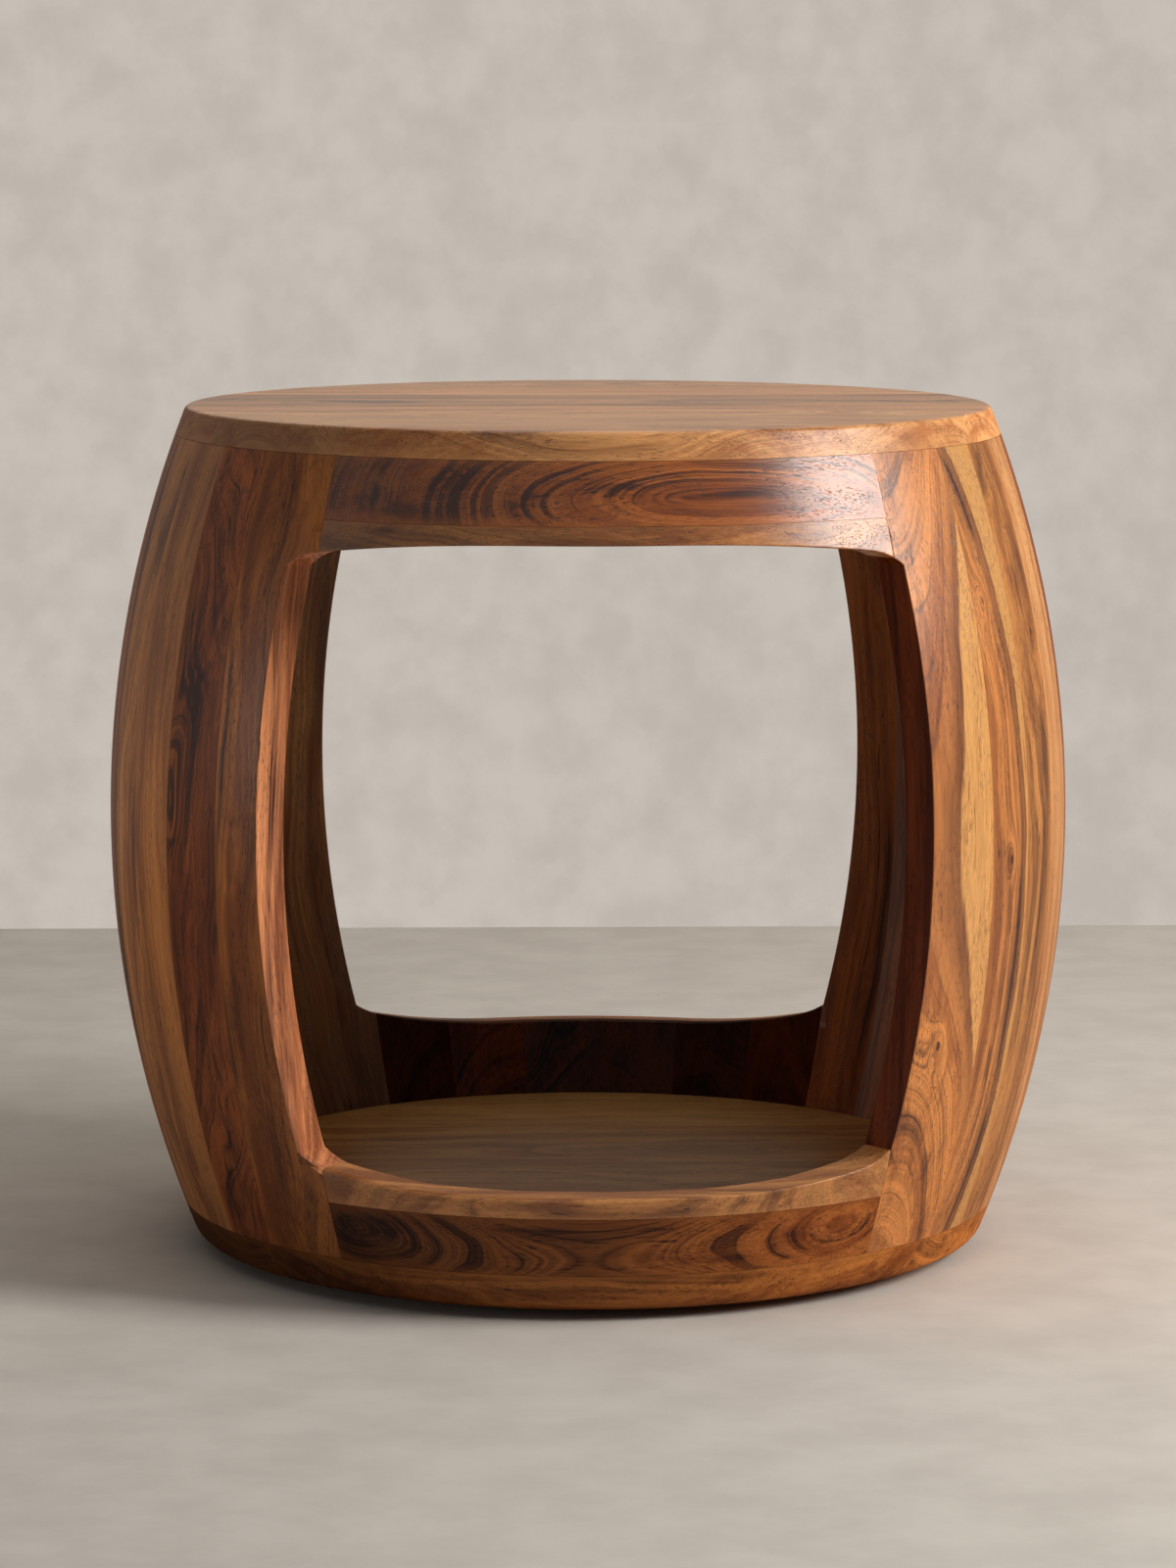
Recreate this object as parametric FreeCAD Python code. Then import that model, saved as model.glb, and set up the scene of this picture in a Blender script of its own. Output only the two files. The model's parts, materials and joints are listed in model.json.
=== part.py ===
import FreeCAD, Part
import math
import os

# Drum side table with a bay that is open at the front and the back.
# Millimetres and degrees, +Z up. The origin is on the floor under the middle of the table.
# Angles round the table start at the front, which faces -Y, and grow towards +X.

# Overall form
table_height = 500.0
bulge_diameter = 571.0
wall_end_diameter = 488.0
wall_thickness = 22.0

# Top panel
top_thickness = 16.0
top_edge_bevel = 3.0
top_plank_shares = (48.0, 85.0, 83.0, 84.0, 84.0, 91.0)

# Base panel, with a lower edge that is eased in two steps
base_thickness = 22.0
base_edge_size = 9.0
base_plank_shares = (88.0, 99.0, 101.0, 97.0, 90.0)

# Inner floor, laid on the base panel
floor_thickness = 12.0
floor_clearance = 0.5
floor_plank_shares = (108.0, 115.0, 112.0, 109.0)

# Staves of the two side walls, from the front jamb to the back jamb
left_stave_shares = (12.6, 10.0, 9.4, 9.0, 9.2, 9.6, 8.6, 9.6, 9.2, 8.8, 15.1)
right_stave_shares = (13.4, 8.8, 8.4, 9.0, 8.0, 9.5, 8.5, 9.0, 8.0, 9.0, 10.1)

# Rails above and below the bay. The lower one at the back stands higher.
board_height = 35.0
board_thickness = 14.0
lining_blocks = 6
upper_strip_height = 10.5
lower_strip_height = 12.0
back_sill_raise = 9.3

# Ends of the bay, and the angles of its lower corners from the middle of each end
front_middle = 0.0
back_middle = 178.7
front_bay_angle = 39.4
back_bay_angle = 37.6

# Angle that the left jamb staves reach past the corners, up to the rails
left_jamb_lap = 3.4

# Outline of the bay: the strips sweep into the corners in a long arc and a short one
lower_sweep_run = 105.0
upper_sweep_run = 138.0
front_sweep_rise = 16.0
back_sweep_rise = 18.8
corner_run = 20.0
corner_rise = 8.5

# The jambs bow outwards, and lean apart towards the top
front_jamb_bow = 8.0
back_jamb_bow = 10.8
front_jamb_lean = 6.5
back_jamb_lean = 5.1

# Loose tenons between the wall and the two panels, and across the rail ends
tenon_thickness = 8.0
tenon_width = 20.0
tenon_in_panel = 10.0
tenon_in_wall = 12.0
tenon_inset = 11.0
rail_tenon_length = 24.0
rail_tenon_height = 10.0
rail_tenon_thickness = 5.0

# Glides under the base panel
glide_count = 4
glide_diameter = 30.0
glide_height = 6.0
glide_circle_diameter = 380.0
glide_first_angle = 45.0

# Reach of a cut beyond the piece that it cuts
overrun = 5.0

# Levels, from the floor up
base_bottom = glide_height
wall_bottom = base_bottom + base_thickness
floor_top = wall_bottom + floor_thickness
wall_top = table_height - top_thickness
front_board_top = wall_bottom + board_height
upper_board_bottom = wall_top - board_height
upper_strip_bottom = upper_board_bottom - upper_strip_height
bulge_level = (wall_bottom + wall_top) / 2

# Form and levels of the bay at its two ends
sweep_rise = {"front": front_sweep_rise, "back": back_sweep_rise}
jamb_bow = {"front": front_jamb_bow, "back": back_jamb_bow}
jamb_lean = {"front": front_jamb_lean, "back": back_jamb_lean}
lower_board_top = {"front": front_board_top, "back": front_board_top + back_sill_raise}
lower_strip_top = {end: level + lower_strip_height for end, level in lower_board_top.items()}
lower_corner = {end: lower_strip_top[end] + rise for end, rise in sweep_rise.items()}
upper_corner = {end: upper_strip_bottom - rise for end, rise in sweep_rise.items()}

# The wall line seen from the side is one arc through the bulge and the wall ends
bulge_radius = bulge_diameter / 2
half_wall = (wall_top - wall_bottom) / 2
bulge_depth = (bulge_diameter - wall_end_diameter) / 2
wall_curvature = 2 * bulge_depth / (half_wall**2 + bulge_depth**2)

UP = FreeCAD.Vector(0, 0, 1)
ORIGIN = FreeCAD.Vector(0, 0, 0)


def outer_radius(level):
    """Radius of the table's outside at a height."""
    rise = level - bulge_level
    drop = wall_curvature * rise**2 / (1 + math.sqrt(1 - (wall_curvature * rise) ** 2))
    return bulge_radius - drop


def cosine(angle):
    return math.cos(math.radians(angle))


def sine(angle):
    return math.sin(math.radians(angle))


def bearing(angle):
    """Unit vector that points outwards at an angle from the front."""
    return FreeCAD.Vector(sine(angle), -cosine(angle), 0)


def turned(shape, angle):
    """Copy of a shape made along +X, turned to an angle from the front."""
    copy = shape.copy()
    copy.rotate(ORIGIN, UP, angle - 90)
    return copy


def line(start, end):
    return Part.LineSegment(start, end).toShape()


def arc(start, middle, end):
    return Part.Arc(start, middle, end).toShape()


def chord(start, middle, end):
    """Straight stand-in for an arc, on pieces too low for the bow to show."""
    return line(start, end)


def face_of(edges):
    return Part.Face(Part.Wire(edges))


def wall_section(outer_inset, inner_inset, low, high, half_angle, side):
    """Section of the wall in the plane of X and Z, between two distances inside the outer wall line.

    half_angle is half of the angle that a flat takes up round the table. The middle of a flat lies
    closer in than its edges, which are on the wall line. It is 0 for a round piece.
    side is arc or chord.
    """

    def point(inset, level):
        return FreeCAD.Vector((outer_radius(level) - inset) * cosine(half_angle), 0, level)

    middle = (low + high) / 2
    edges = [
        side(point(outer_inset, low), point(outer_inset, middle), point(outer_inset, high)),
        line(point(outer_inset, high), point(inner_inset, high)),
        side(point(inner_inset, high), point(inner_inset, middle), point(inner_inset, low)),
        line(point(inner_inset, low), point(outer_inset, low)),
    ]
    return face_of(edges)


def round_piece(outer_inset, inner_inset, low, high, start_angle, end_angle):
    """Part of a ring that is round about the table's axis."""
    section = turned(wall_section(outer_inset, inner_inset, low, high, 0, chord), start_angle)
    return section.revolve(ORIGIN, UP, end_angle - start_angle)


def flat_piece(outer_inset, inner_inset, low, high, start_angle, end_angle, side=chord):
    """Upright piece that is flat across, with sides that point at the table's axis."""
    half_angle = (end_angle - start_angle) / 2
    half_width = widest_radius * math.tan(math.radians(half_angle))
    across = FreeCAD.Vector(0, half_width, 0)
    section = wall_section(outer_inset, inner_inset, low, high, half_angle, side)
    section.translate(-across)
    board = section.extrude(across * 2)
    far = FreeCAD.Vector(widest_radius, 0, low)
    corners = [UP * low, far - across, far + across, UP * low]
    wedge = Part.Face(Part.makePolygon(corners)).extrude(UP * (high - low))
    return turned(board.common(wedge), (start_angle + end_angle) / 2)


def spans(shares, start, end):
    """Start and end of each piece in a row whose widths follow shares."""
    unit = (end - start) / sum(shares)
    places = []
    for share in shares:
        places.append((start, start + share * unit))
        start += share * unit
    return places


def disc_between(low, high, inset):
    """Round panel with a slanted rim, a distance inside the outer wall line."""
    return Part.makeCone(outer_radius(low) - inset, outer_radius(high) - inset, high - low, UP * low, UP)


def top_disc():
    disc = disc_between(wall_top, table_height, 0)
    rims = [edge for edge in disc.Edges if edge.isClosed()]
    upper_rim = max(rims, key=lambda edge: edge.CenterOfMass.z)
    return disc.makeChamfer(top_edge_bevel, [upper_rim])


def base_disc():
    """Round base whose lower edge is a quarter round in two steps."""
    rim = outer_radius(base_bottom)
    step = base_edge_size * (1 - cosine(45))
    eased_top = base_bottom + base_edge_size
    points = [
        UP * base_bottom,
        FreeCAD.Vector(rim - base_edge_size, 0, base_bottom),
        FreeCAD.Vector(rim - step, 0, base_bottom + step),
        FreeCAD.Vector(outer_radius(eased_top), 0, eased_top),
        FreeCAD.Vector(outer_radius(wall_bottom), 0, wall_bottom),
        UP * wall_bottom,
        UP * base_bottom,
    ]
    return Part.Face(Part.makePolygon(points)).revolve(ORIGIN, UP, 360)


def floor_disc():
    """Inner floor, which clears the inner flat of the widest stave."""
    widest = max((max(abs(a - b) for a, b in side)) for side in (left_spans, right_spans))
    inner_radius = outer_radius(wall_bottom) - wall_thickness
    flat_depth = inner_radius * (1 - cosine(widest / 2))
    return disc_between(wall_bottom, floor_top, wall_thickness + flat_depth + floor_clearance)


def planks(disc, shares):
    """Planks that run along X, cut from a round panel, front to back."""
    box = disc.BoundBox
    made = []
    for front, back in spans(shares, box.YMin, box.YMax):
        corner = FreeCAD.Vector(box.XMin, front, box.ZMin)
        made.append(disc.common(Part.makeBox(box.XLength, back - front, box.ZLength, corner)))
    return made


def sweep_points(start, level, run, rise):
    """Points along a strip's sweep, from the corner of the bay to the flat, as distances across and levels.

    start is how far across the corner is, and level is that of the flat. rise is negative where the sweep falls
    to the corner. The short arc leaves the long one smoothly, and the points are the ends and the middles of
    both.
    """
    up = math.copysign(1, rise)
    long_run = run - corner_run
    long_rise = abs(rise) - corner_rise
    long_radius = (long_run**2 + long_rise**2) / (2 * long_rise)
    middle_rise = long_radius - math.sqrt(long_radius**2 - (long_run / 2) ** 2)
    slope = 2 * math.atan2(long_rise, long_run)
    short_slope = math.atan2(corner_rise, corner_run)
    short_depth = math.hypot(corner_run, corner_rise) / 2 * math.tan((short_slope - slope) / 2)
    places = [
        (0, abs(rise)),
        (
            corner_run / 2 - short_depth * math.sin(short_slope),
            long_rise + corner_rise / 2 - short_depth * math.cos(short_slope),
        ),
        (corner_run, long_rise),
        (corner_run + long_run / 2, middle_rise),
        (run, 0),
    ]
    return [(start + across, level + up * height) for across, height in places]


def bay_cutter(end, corner_angle, side):
    """Half of the bay's outline at one end, pushed outwards square to a corner of the bay.

    The outline is drawn in a plane whose first direction runs from the jamb towards the middle of the rail.
    side is 1 at the jamb that comes after the rail going round the table, and -1 at the other.
    """
    outward = bearing(corner_angle)
    inward = UP.cross(outward) * -side
    start = outward * (bulge_radius * cosine(front_bay_angle) / 2)

    def point(across, level):
        return start + inward * across + UP * level

    rise, lean = sweep_rise[end], jamb_lean[end]
    low = [point(*place) for place in sweep_points(0, lower_strip_top[end], lower_sweep_run, rise)]
    high = [point(*place) for place in sweep_points(-lean, upper_strip_bottom, upper_sweep_run, -rise)]
    middle = widest_radius * sine(front_bay_angle) + overrun
    low_middle = point(middle, lower_strip_top[end])
    high_middle = point(middle, upper_strip_bottom)
    jamb_middle = point(-lean / 2 - jamb_bow[end], (lower_corner[end] + upper_corner[end]) / 2)
    edges = [
        arc(*low[:3]),
        arc(*low[2:]),
        line(low[-1], low_middle),
        line(low_middle, high_middle),
        line(high_middle, high[-1]),
        arc(*high[:1:-1]),
        arc(*high[2::-1]),
        arc(high[0], jamb_middle, low[0]),
    ]
    return face_of(edges).extrude(outward * widest_radius)


def block(length, width, height, centre, angle):
    """Box centred on a point, with its length along the outward direction at an angle."""
    corner = FreeCAD.Vector(-length / 2, -width / 2, -height / 2)
    shape = turned(Part.makeBox(length, width, height, corner), angle)
    shape.translate(centre)
    return shape


def panel_tenons(joint_level, wall_side):
    """Loose tenons across the joint between the wall and a panel. wall_side is 1 where the wall is above."""
    height = tenon_in_wall + tenon_in_panel
    level = joint_level + wall_side * (tenon_in_wall - tenon_in_panel) / 2
    reach = outer_radius(joint_level) - tenon_inset
    return [
        block(tenon_thickness, tenon_width, height, bearing(angle) * reach + UP * level, angle)
        for angle in tenon_angles
    ]


def rail_tenons():
    """Loose tenons across the joints of the rail boards and the jamb staves, clear of the panel tenons."""
    tenons = []
    off_panel = (board_height + tenon_in_wall) / 2
    for level in (wall_bottom + off_panel, wall_top - off_panel):
        reach = outer_radius(level) - board_thickness / 2
        for angle in rail_ends["front"] + rail_ends["back"]:
            centre = bearing(angle) * reach + UP * level
            tenons.append(block(rail_tenon_thickness, rail_tenon_length, rail_tenon_height, centre, angle))
    return tenons


def glide_places():
    step = 360 / glide_count
    return [bearing(glide_first_angle + step * i) * (glide_circle_diameter / 2) for i in range(glide_count)]


def glides():
    return [Part.makeCylinder(glide_diameter / 2, glide_height, place, UP) for place in glide_places()]


def staves(side_spans, cutters, tenons):
    """Staves of one side wall. The first and the last are cut to the outline of the bay."""
    made = [flat_piece(0, wall_thickness, wall_bottom, wall_top, a, b, arc) for a, b in side_spans]
    return [stave.cut(cutters).cut(tenons) for stave in made]


def rail_flats(end):
    """Start and end of each flat on the inside of the rails at one end of the bay."""
    even_shares = [1] * lining_blocks
    return spans(even_shares, *rail_ends[end])


def rail_piece(end, thickness, low, high):
    """Piece of a rail that is round outside and has flats inside."""
    ring = round_piece(0, thickness + overrun, low, high, *rail_ends[end])
    flats = [flat_piece(thickness, thickness + 2 * overrun, low, high, a, b) for a, b in rail_flats(end)]
    return ring.cut(flats)


def rail_lining(end, lengths):
    """Short upright blocks on the inside of a rail, which lie flat on each of the pieces that they cover."""
    blocks = []
    for a, b in rail_flats(end):
        flats = [flat_piece(board_thickness, wall_thickness, low, high, a, b) for low, high in lengths]
        blocks.append(flats[0].fuse(flats[1:]) if flats[1:] else flats[0])
    return blocks


def model():
    """Every node's name with its solids."""
    nodes = {}
    top_tenons = panel_tenons(wall_top, -1)
    base_tenons = panel_tenons(wall_bottom, 1)
    end_tenons = rail_tenons()
    all_tenons = top_tenons + base_tenons + end_tenons
    cutters = []
    for end, corners in bay_corners.items():
        cutters += [bay_cutter(end, angle, side) for angle, side in zip(corners, (-1, 1))]

    for i, plank in enumerate(planks(top_disc(), top_plank_shares)):
        nodes[f"top_plank_{i + 1}"] = [plank.cut(top_tenons)]
    for i, plank in enumerate(planks(base_disc(), base_plank_shares)):
        nodes[f"base_plank_{i + 1}"] = [plank.cut(base_tenons)]
    for i, plank in enumerate(planks(floor_disc(), floor_plank_shares)):
        nodes[f"floor_plank_{i + 1}"] = [plank]

    for side, side_spans in (("left", left_spans), ("right", right_spans)):
        for i, stave in enumerate(staves(side_spans, cutters, all_tenons)):
            nodes[f"{side}_stave_{i + 1:02d}"] = [stave]

    for end in rail_ends:
        board_levels = {"lower": (wall_bottom, lower_board_top[end]), "upper": (upper_board_bottom, wall_top)}
        strip_levels = {
            "lower": (lower_board_top[end], lower_corner[end]),
            "upper": (upper_corner[end], upper_board_bottom),
        }
        # At the front the strips cover the lining, and at the back the lining goes on behind them
        strip_thickness = wall_thickness if end == "front" else board_thickness
        for place in board_levels:
            board = rail_piece(end, board_thickness, *board_levels[place])
            strip = rail_piece(end, strip_thickness, *strip_levels[place])
            covered = [board_levels[place]] if end == "front" else [board_levels[place], strip_levels[place]]
            lining = rail_lining(end, covered)
            nodes[f"{place}_{end}_rail_board"] = [board.cut(all_tenons)]
            nodes[f"{place}_{end}_rail_strip"] = [strip.cut(cutters).removeSplitter()]
            nodes[f"{place}_{end}_rail_lining"] = [piece.cut(cutters).removeSplitter() for piece in lining]

    nodes["top_tenons"] = top_tenons
    nodes["base_tenons"] = base_tenons
    nodes["rail_tenons"] = end_tenons
    nodes["glides"] = glides()
    return nodes


# Radius of the widest level
widest_radius = max(outer_radius(level) for level in (base_bottom, bulge_level, table_height))

# Angles of the bay's corners and of the rails' ends, going round the table
bay_corners = {
    "front": (front_middle - front_bay_angle, front_middle + front_bay_angle),
    "back": (back_middle - back_bay_angle, back_middle + back_bay_angle),
}
rail_ends = {
    "front": (front_middle - front_bay_angle + left_jamb_lap, front_middle + front_bay_angle),
    "back": (back_middle - back_bay_angle, back_middle + back_bay_angle - left_jamb_lap),
}

# Angles of the staves from the front jamb to the back jamb. The first, the middle and the last have tenons.
right_spans = spans(right_stave_shares, rail_ends["front"][1], rail_ends["back"][0])
left_ends = rail_ends["front"][0], rail_ends["back"][1] - 360
left_spans = [(b, a) for a, b in spans(left_stave_shares, *left_ends)]
tenon_spans = [side[i] for side in (right_spans, left_spans) for i in (0, len(side) // 2, -1)]
tenon_angles = [(a + b) / 2 for a, b in tenon_spans]

os.makedirs("parts", exist_ok=True)
for node, shapes in model().items():
    solids = [solid for shape in shapes for solid in shape.Solids]
    whole = solids[0] if len(solids) == 1 else Part.makeCompound(solids)
    whole.exportStep(f"parts/{node}.step")
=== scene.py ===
import json
import math
import random

import bmesh
import bpy
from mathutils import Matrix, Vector


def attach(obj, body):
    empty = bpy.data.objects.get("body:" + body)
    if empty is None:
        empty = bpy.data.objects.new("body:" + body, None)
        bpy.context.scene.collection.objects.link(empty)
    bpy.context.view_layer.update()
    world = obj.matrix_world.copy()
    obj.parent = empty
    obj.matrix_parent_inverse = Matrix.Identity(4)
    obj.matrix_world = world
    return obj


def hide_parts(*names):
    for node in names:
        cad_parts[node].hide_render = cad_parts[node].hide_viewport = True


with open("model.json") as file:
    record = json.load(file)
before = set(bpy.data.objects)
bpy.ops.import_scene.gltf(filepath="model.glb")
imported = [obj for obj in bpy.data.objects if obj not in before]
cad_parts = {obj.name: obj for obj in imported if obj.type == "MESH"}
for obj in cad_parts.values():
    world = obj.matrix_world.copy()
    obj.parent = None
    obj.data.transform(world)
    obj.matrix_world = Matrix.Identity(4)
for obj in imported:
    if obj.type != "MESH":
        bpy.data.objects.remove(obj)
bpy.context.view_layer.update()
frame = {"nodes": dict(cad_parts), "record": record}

# Drum side table of solid wood, with a bay that is open at the front and the back.
# Metres and degrees, +Z up. Angles start at the front, which faces -Y, and grow towards +X.

# Sizes of the construction model
TABLE_HEIGHT = 0.500
BULGE_RADIUS = 0.2848
WALL_END_RADIUS = 0.244
WALL = 0.022
TOP = 0.016
BASE = 0.022
FLOOR = 0.012
FLOOR_CLEARANCE = 0.0005
GLIDE_HEIGHT = 0.006
GLIDE_RADIUS = 0.015
GLIDE_CIRCLE = 0.190
GLIDE_ANGLES = (45, 135, 225, 315)
BOARD_HEIGHT = 0.035
BOARD = 0.014
LINING_BLOCKS = 6
UPPER_STRIP = 0.0105
LOWER_STRIP = 0.012
BACK_SILL_RAISE = 0.0093
BACK_MIDDLE = 178.7
FRONT_BAY = 39.4
BACK_BAY = 37.6
LEFT_LAP = 3.4
LOWER_RUN = 0.105
UPPER_RUN = 0.138
SWEEP_RISE = {"front": 0.016, "back": 0.0188}
CORNER_RUN = 0.020
CORNER_RISE = 0.0085
JAMB_BOW = {"front": 0.008, "back": 0.0108}
JAMB_LEAN = {"front": 0.0065, "back": 0.0051}
LEFT_SHARES = (12.6, 10.0, 9.4, 9.0, 9.2, 9.6, 8.6, 9.6, 9.2, 8.8, 15.1)
RIGHT_SHARES = (13.4, 8.8, 8.4, 9.0, 8.0, 9.5, 8.5, 9.0, 8.0, 9.0, 10.1)
TOP_SHARES = (48, 85, 83, 84, 84, 91)
BASE_SHARES = (88, 99, 101, 97, 90)
FLOOR_SHARES = (108, 115, 112, 109)

# Finish of the edges and the joints
TOP_ROUND = 0.0035
BASE_ROUND = 0.009
BASE_RIM_RAISE = 0.004
STRIP_ROUND = 0.0046
CRISP_ROUND = 0.0014
BAY_ROUND = 0.0011
INNER_ROUND = 0.0012
GLIDE_ROUND = 0.0025
JOINT = 0.0001

# Steps of the meshes
STAVE_ROWS = 41
STAVE_COLUMNS = 8
RAIL_END_ROWS = 6
LOWER_SWEEP_ROWS = 9
JAMB_ROWS = 49
UPPER_SWEEP_ROWS = 11
BLOCK_STEPS = 9
STRIP_ROWS = 4
BOARD_ROWS = 6
LINING_ROWS = 8
LINING_COLUMNS = 9
PANEL_STEPS = 288
GLIDE_STEPS = 48
CORNER_STEPS = 7
BEVEL_SEGMENTS = 4
SHARP_ANGLE = 32
# Times that a height on the bay's edge and the wall's radius there are worked out from each other
SETTLING = 4
# Angle beyond which a corner of the bay has no part in the line of a rail
FARTHEST_CORNER = 80
# Where the edge of the bay changes its rounding: angles along the lower front strip, and heights over the
# lower corners
CRISP_FROM, CRISP_TO = -8, 10
JAMB_FROM, JAMB_TO = -0.004, 0.05

# Levels
BASE_BOTTOM = GLIDE_HEIGHT
WALL_BOTTOM = BASE_BOTTOM + BASE
FLOOR_TOP = WALL_BOTTOM + FLOOR
WALL_TOP = TABLE_HEIGHT - TOP
UPPER_SEAM = WALL_TOP - BOARD_HEIGHT
UPPER_FLAT = UPPER_SEAM - UPPER_STRIP
LOWER_SEAM = {"front": WALL_BOTTOM + BOARD_HEIGHT, "back": WALL_BOTTOM + BOARD_HEIGHT + BACK_SILL_RAISE}
LOWER_FLAT = {end: level + LOWER_STRIP for end, level in LOWER_SEAM.items()}
LOWER_CORNER = {end: LOWER_FLAT[end] + rise for end, rise in SWEEP_RISE.items()}
UPPER_CORNER = {end: UPPER_FLAT - rise for end, rise in SWEEP_RISE.items()}
BULGE_LEVEL = (WALL_BOTTOM + WALL_TOP) / 2

# Wall line, one arc seen from the side
HALF_WALL = (WALL_TOP - WALL_BOTTOM) / 2
BULGE_DEPTH = BULGE_RADIUS - WALL_END_RADIUS
WALL_CURVATURE = 2 * BULGE_DEPTH / (HALF_WALL**2 + BULGE_DEPTH**2)

# Corners of the bay and ends of the rails, going round the table
BAY_CORNERS = {"front": (-FRONT_BAY, FRONT_BAY), "back": (BACK_MIDDLE - BACK_BAY, BACK_MIDDLE + BACK_BAY)}
RAIL_ENDS = {
    "front": (BAY_CORNERS["front"][0] + LEFT_LAP, BAY_CORNERS["front"][1]),
    "back": (BAY_CORNERS["back"][0], BAY_CORNERS["back"][1] - LEFT_LAP),
}


def outer_radius(level):
    rise = level - BULGE_LEVEL
    return BULGE_RADIUS - WALL_CURVATURE * rise**2 / (1 + math.sqrt(1 - (WALL_CURVATURE * rise) ** 2))


def at(radius, angle, level):
    """Point at a radius, an angle from the front and a height."""
    turn = math.radians(angle)
    return Vector((radius * math.sin(turn), -radius * math.cos(turn), level))


def spread(start, end, count):
    return [start + (end - start) * i / (count - 1) for i in range(count)]


def spans(shares, start, end):
    unit = (end - start) / sum(shares)
    places = []
    for share in shares:
        places.append((start, start + share * unit))
        start += share * unit
    return places


RIGHT_SPANS = spans(RIGHT_SHARES, RAIL_ENDS["front"][1], RAIL_ENDS["back"][0])
LEFT_SPANS = spans(LEFT_SHARES, RAIL_ENDS["front"][0], RAIL_ENDS["back"][1] - 360)


def flat_radius(edge_radius, angle, flat):
    """Radius of a flat whose two edges are at edge_radius."""
    half = math.radians(abs(flat[1] - flat[0]) / 2)
    off = math.radians(angle - (flat[0] + flat[1]) / 2)
    return edge_radius * math.cos(half) / math.cos(off)


def sweep(across, run, rise):
    """Rise of a strip's sweep at a distance from the corner of the bay."""
    if across >= run:
        return 0
    long_run = run - CORNER_RUN
    long_rise = rise - CORNER_RISE
    long_radius = (long_run**2 + long_rise**2) / (2 * long_rise)
    if across >= CORNER_RUN:
        return long_radius - math.sqrt(long_radius**2 - (run - across) ** 2)
    slope = math.asin(long_run / long_radius)
    toward = CORNER_RISE * math.cos(slope) - CORNER_RUN * math.sin(slope)
    radius = (CORNER_RUN**2 + CORNER_RISE**2) / (2 * toward)
    centre = CORNER_RUN + radius * math.sin(slope), long_rise + radius * math.cos(slope)
    return centre[1] - math.sqrt(radius**2 - (across - centre[0]) ** 2)


def lower_line(end, across):
    return LOWER_FLAT[end] + sweep(max(across, 0), LOWER_RUN, SWEEP_RISE[end])


def upper_line(end, across):
    return UPPER_FLAT - sweep(max(across + JAMB_LEAN[end], 0), UPPER_RUN, SWEEP_RISE[end])


def jamb_across(end, level):
    """How far a jamb's arc lies from the plane through the bay's lower corner."""
    bow = JAMB_BOW[end]
    half = (UPPER_CORNER[end] - LOWER_CORNER[end]) / 2
    chord = math.hypot(half, JAMB_LEAN[end] / 2)
    radius = (chord**2 + bow**2) / (2 * bow)
    along = (level - LOWER_CORNER[end] - half) / half
    lean = -JAMB_LEAN[end] * (along + 1) / 2
    return lean - (math.sqrt(radius**2 - (along * chord) ** 2) - (radius - bow))


def smooth_step(value, low, high):
    share = min(max((value - low) / (high - low), 0), 1)
    return share * share * (3 - 2 * share)


def bay_round(end, level, turn):
    """Radius of the bay's outer edge. It is larger along the lower strips, at the front only on the left."""
    corner = LOWER_CORNER[end]
    strip = STRIP_ROUND
    if end == "front":
        strip += (CRISP_ROUND - STRIP_ROUND) * smooth_step(turn, CRISP_FROM, CRISP_TO)
    return strip + (BAY_ROUND - strip) * smooth_step(level, corner + JAMB_FROM, corner + JAMB_TO)


def bay_edge(inset, end, corner, rail_end, side):
    """Rows of a jamb stave's edge from the base up, as heights, angles and whether the bay is there.

    The edge runs up the rail's end, along the sweep, up the jamb, along the upper sweep and up the other
    rail's end. side is 1 where the angles fall from the jamb towards the middle of the rail, and -1 where
    they grow.
    """
    lap = abs(math.radians(corner - rail_end))

    def angle_of(across, level):
        return corner - side * math.degrees(math.asin(across / (outer_radius(level) - inset)))

    def meeting(line, level):
        for _ in range(SETTLING):
            level = line(end, (outer_radius(level) - inset) * math.sin(lap))
        return level

    low = meeting(lower_line, LOWER_CORNER[end])
    high = meeting(upper_line, UPPER_CORNER[end])
    rows = [(z, rail_end, False) for z in spread(WALL_BOTTOM + JOINT, low, RAIL_END_ROWS)[:-1]]
    if lap:
        reach = (outer_radius(low) - inset) * math.sin(lap)
        for across in spread(reach, 0, LOWER_SWEEP_ROWS)[:-1]:
            level = lower_line(end, across)
            rows.append((level, angle_of(across, level), True))
    for level in spread(LOWER_CORNER[end], UPPER_CORNER[end], JAMB_ROWS):
        rows.append((level, angle_of(jamb_across(end, level), level), True))
    reach = (outer_radius(high) - inset) * math.sin(lap)
    for across in spread(-JAMB_LEAN[end], reach, UPPER_SWEEP_ROWS)[1:]:
        level = upper_line(end, across)
        rows.append((level, angle_of(across, level), True))
    rows += [(z, rail_end, False) for z in spread(high, WALL_TOP - JOINT, RAIL_END_ROWS)[1:]]
    return rows


def loft(rings, rounds, second=()):
    """Mesh through rings of points with both ends closed.

    rounds holds a radius for each pair of a ring and a corner of it. The edge from there to the next ring is
    rounded. second holds the pairs whose face has the piece's second material.
    """
    mesh = bmesh.new()
    weight = mesh.edges.layers.float.new("bevel_weight_edge")
    made = [[mesh.verts.new(point) for point in ring] for ring in rings]
    count = len(rings[0])
    for row, (lower, upper) in enumerate(zip(made, made[1:])):
        for i in range(count):
            j = (i + 1) % count
            face = mesh.faces.new((lower[i], lower[j], upper[j], upper[i]))
            face.material_index = (row, i) in second
    mesh.faces.new(made[0])
    mesh.faces.new(made[-1])
    for (ring, corner), radius in rounds.items():
        edge = mesh.edges.get((made[ring][corner], made[ring + 1][corner]))
        edge[weight] = radius / STRIP_ROUND
    bmesh.ops.recalc_face_normals(mesh, faces=mesh.faces)
    return mesh


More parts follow.
